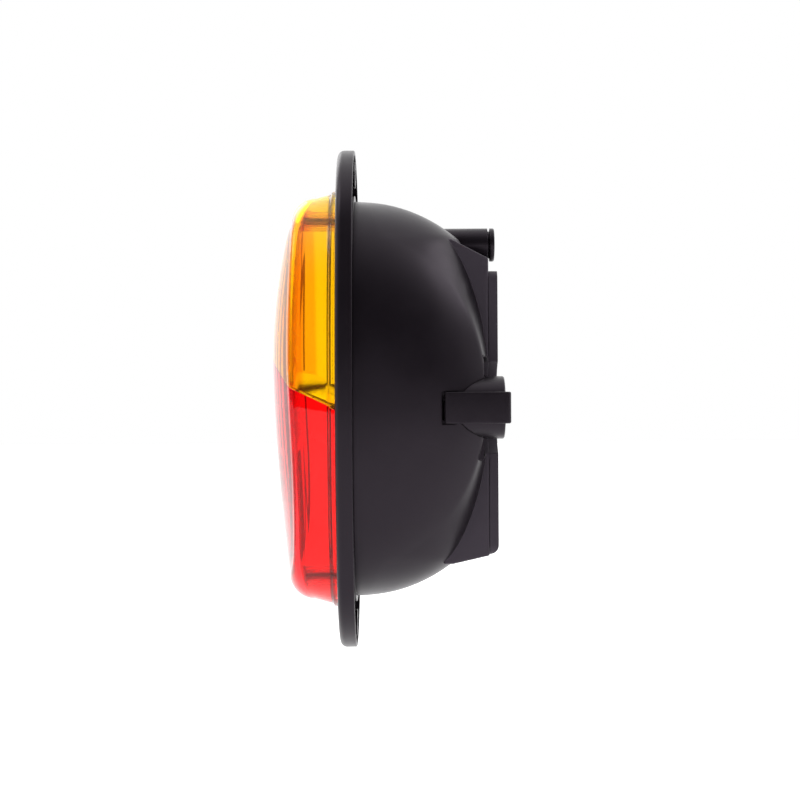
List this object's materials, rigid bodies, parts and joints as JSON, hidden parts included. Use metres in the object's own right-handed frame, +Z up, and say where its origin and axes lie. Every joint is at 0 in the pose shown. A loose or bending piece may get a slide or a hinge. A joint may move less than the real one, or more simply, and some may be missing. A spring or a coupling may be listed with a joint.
{
  "type": "trailer tail light",
  "caption": "Oval flush-mount trailer tail light: amber over red lens, eared flange, domed back with wiring box, round connector with sprung latch and closed cable outlet.",
  "frame": {"origin": "midway between the two ear screw holes, on the rear face of the flange (the panel plane)", "axes": "-Y is the way the lens looks, +Y points back through the panel along the housing, +Z is up (amber above red), +X is the side with the connector"},
  "size_m": [0.136, 0.1136, 0.245],
  "materials": {
    "black_plastic": "fine moulded texture",
    "amber_lens": "polished",
    "red_lens": "polished",
    "reflex_red": "polished prisms",
    "rubber_seal": "satin",
    "metallised": "mirror",
    "bulb_glass": "clear",
    "brass_part": "satin",
    "steel_part": "zinc plated",
    "phenolic": "satin",
    "grey_plastic": "satin",
    "wire_cover": "satin"
  },
  "bodies": {
    "lamp": {"mounting_flange": "black_plastic", "lens_gasket": "rubber_seal", "lens_amber": "amber_lens", "lens_red": "red_lens", "lens_screws": "steel_part", "reflex_reflector": "reflex_red", "chamber_divider": "metallised", "reflector_upper": "metallised", "reflector_lower": "metallised", "turn_socket": "steel_part", "stop_socket": "steel_part", "turn_contact_spring": "steel_part", "stop_contact_spring": "steel_part", "contact_carrier": "phenolic", "lead_frame": "brass_part", "lead_wires": "wire_cover", "rear_housing": "black_plastic", "cover_gasket": "rubber_seal", "rear_cover": "black_plastic", "cover_screws": "steel_part", "cable_outlet": "black_plastic", "outlet_plug": "rubber_seal", "connector_shell": "black_plastic", "connector_insert": "grey_plastic", "connector_pins": "brass_part", "connector_seal": "rubber_seal", "latch_pin": "steel_part", "latch_spring": "steel_part"},
    "turn_bulb": {"turn_bulb_glass": "bulb_glass", "turn_bulb_cap": "brass_part", "turn_filament": "steel_part"},
    "stop_bulb": {"stop_bulb_glass": "bulb_glass", "stop_bulb_cap": "brass_part", "stop_filament": "steel_part"},
    "turn_plunger": {"turn_contact": "brass_part"},
    "stop_plunger": {"stop_contact": "brass_part"},
    "latch": {"latch_lever": "black_plastic"}
  },
  "joints": [
    {"name": "turn_bulb_twist", "type": "hinge", "parent": "lamp", "child": "turn_bulb", "pos_m": [0, 0.0401, 0.041], "axis": [0, -1, 0], "range_deg": [0, 20]},
    {"name": "stop_bulb_twist", "type": "hinge", "parent": "lamp", "child": "stop_bulb", "pos_m": [0, 0.0401, -0.038], "axis": [0, -1, 0], "range_deg": [0, 20]},
    {"name": "turn_contact_press", "type": "slide", "parent": "lamp", "child": "turn_plunger", "axis": [0, 1, 0], "range_m": [0, 0.0012], "stiffness_N_per_m": 1500, "springref_m": -0.002, "deforming": ["turn_contact_spring"]},
    {"name": "stop_contact_press", "type": "slide", "parent": "lamp", "child": "stop_plunger", "axis": [0, 1, 0], "range_m": [0, 0.0012], "stiffness_N_per_m": 1500, "springref_m": -0.002, "deforming": ["stop_contact_spring"]},
    {"name": "latch_swing", "type": "hinge", "parent": "lamp", "child": "latch", "pos_m": [0.051, 0.0445, -0.0045], "axis": [0, 0, -1], "range_deg": [0, 12], "stiffness_Nm_per_rad": 0.15, "springref_deg": -17.19, "deforming": ["latch_spring"]}
  ]
}
